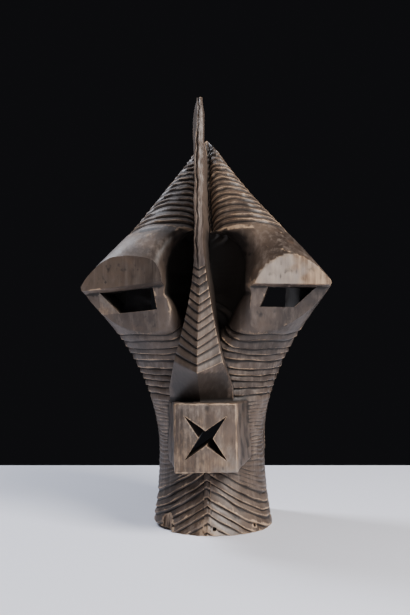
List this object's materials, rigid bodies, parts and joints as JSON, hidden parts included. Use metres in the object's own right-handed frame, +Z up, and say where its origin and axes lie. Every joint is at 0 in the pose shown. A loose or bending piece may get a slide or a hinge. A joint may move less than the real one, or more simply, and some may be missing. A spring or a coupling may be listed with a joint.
{
  "type": "kifwebe mask",
  "caption": "Carved wooden face mask with tubular brows, slotted eyes, high crest, pierced square mouth and carved parallel lines, hollow behind.",
  "frame": {"origin": "on the standing surface, under the middle of the mask's box", "axes": "+Z up along the face, -Y the way the face looks, +X the viewer's right"},
  "size_m": [0.2956, 0.205, 0.521],
  "materials": {
    "carved_wood": "dark matt patina, worn to pale wood on the edges"
  },
  "bodies": {
    "root": {"kifwebe_mask": "carved_wood"}
  },
  "joints": []
}
